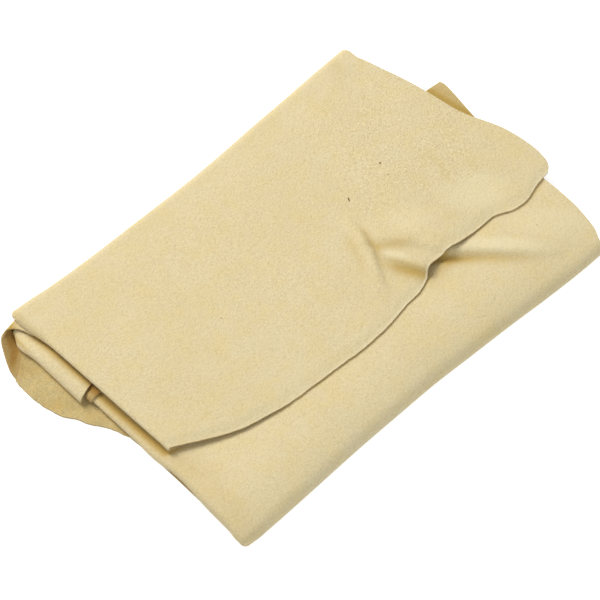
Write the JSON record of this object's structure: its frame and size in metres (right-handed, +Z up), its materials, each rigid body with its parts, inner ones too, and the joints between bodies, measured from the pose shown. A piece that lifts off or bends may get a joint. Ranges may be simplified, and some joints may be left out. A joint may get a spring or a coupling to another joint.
{
  "type": "chamois leather",
  "caption": "Natural chamois leather drying cloth folded into a flat pack, whose flap and middle panel open at their folds.",
  "frame": {"origin": "on the table, under the middle of the folded pack, on the flat underside of the base panel", "axes": "+X along the two long folds, away from the lobe; +Y from the front fold to the back fold; +Z up"},
  "size_m": [0.2976, 0.1908, 0.015],
  "materials": {
    "grain_side": "matte pale straw suede with a fine even nap",
    "flesh_side": "matte ochre suede with a coarser, rougher nap"
  },
  "bodies": {
    "pack": {"base_panel": "flesh_side", "back_fold": "grain_side", "corner_curl": "flesh_side", "front_fold": "grain_side", "tucked_leg_top": "grain_side", "tucked_leg_fold": "grain_side", "tucked_leg_lining": "flesh_side"},
    "flap": {"flap_top": "grain_side", "flap_side_fold": "grain_side", "flap_under_leaf": "grain_side"},
    "panel": {"panel_top": "grain_side", "panel_side_fold": "grain_side", "panel_under_leaf": "grain_side"}
  },
  "joints": [
    {"name": "flap_hinge", "type": "hinge", "parent": "pack", "child": "flap", "pos_m": [0, 0.08645, 0.00555], "axis": [-1, 0, 0], "range_deg": [0, 175], "deforming": ["back_fold"]},
    {"name": "panel_hinge", "type": "hinge", "parent": "pack", "child": "panel", "pos_m": [0, -0.08805, 0.00395], "axis": [1, 0, 0], "range_deg": [0, 70], "deforming": ["front_fold"]}
  ],
  "couplings": [
    {"joint": "panel_hinge", "follows": "flap_hinge", "ratio": 0.4}
  ]
}
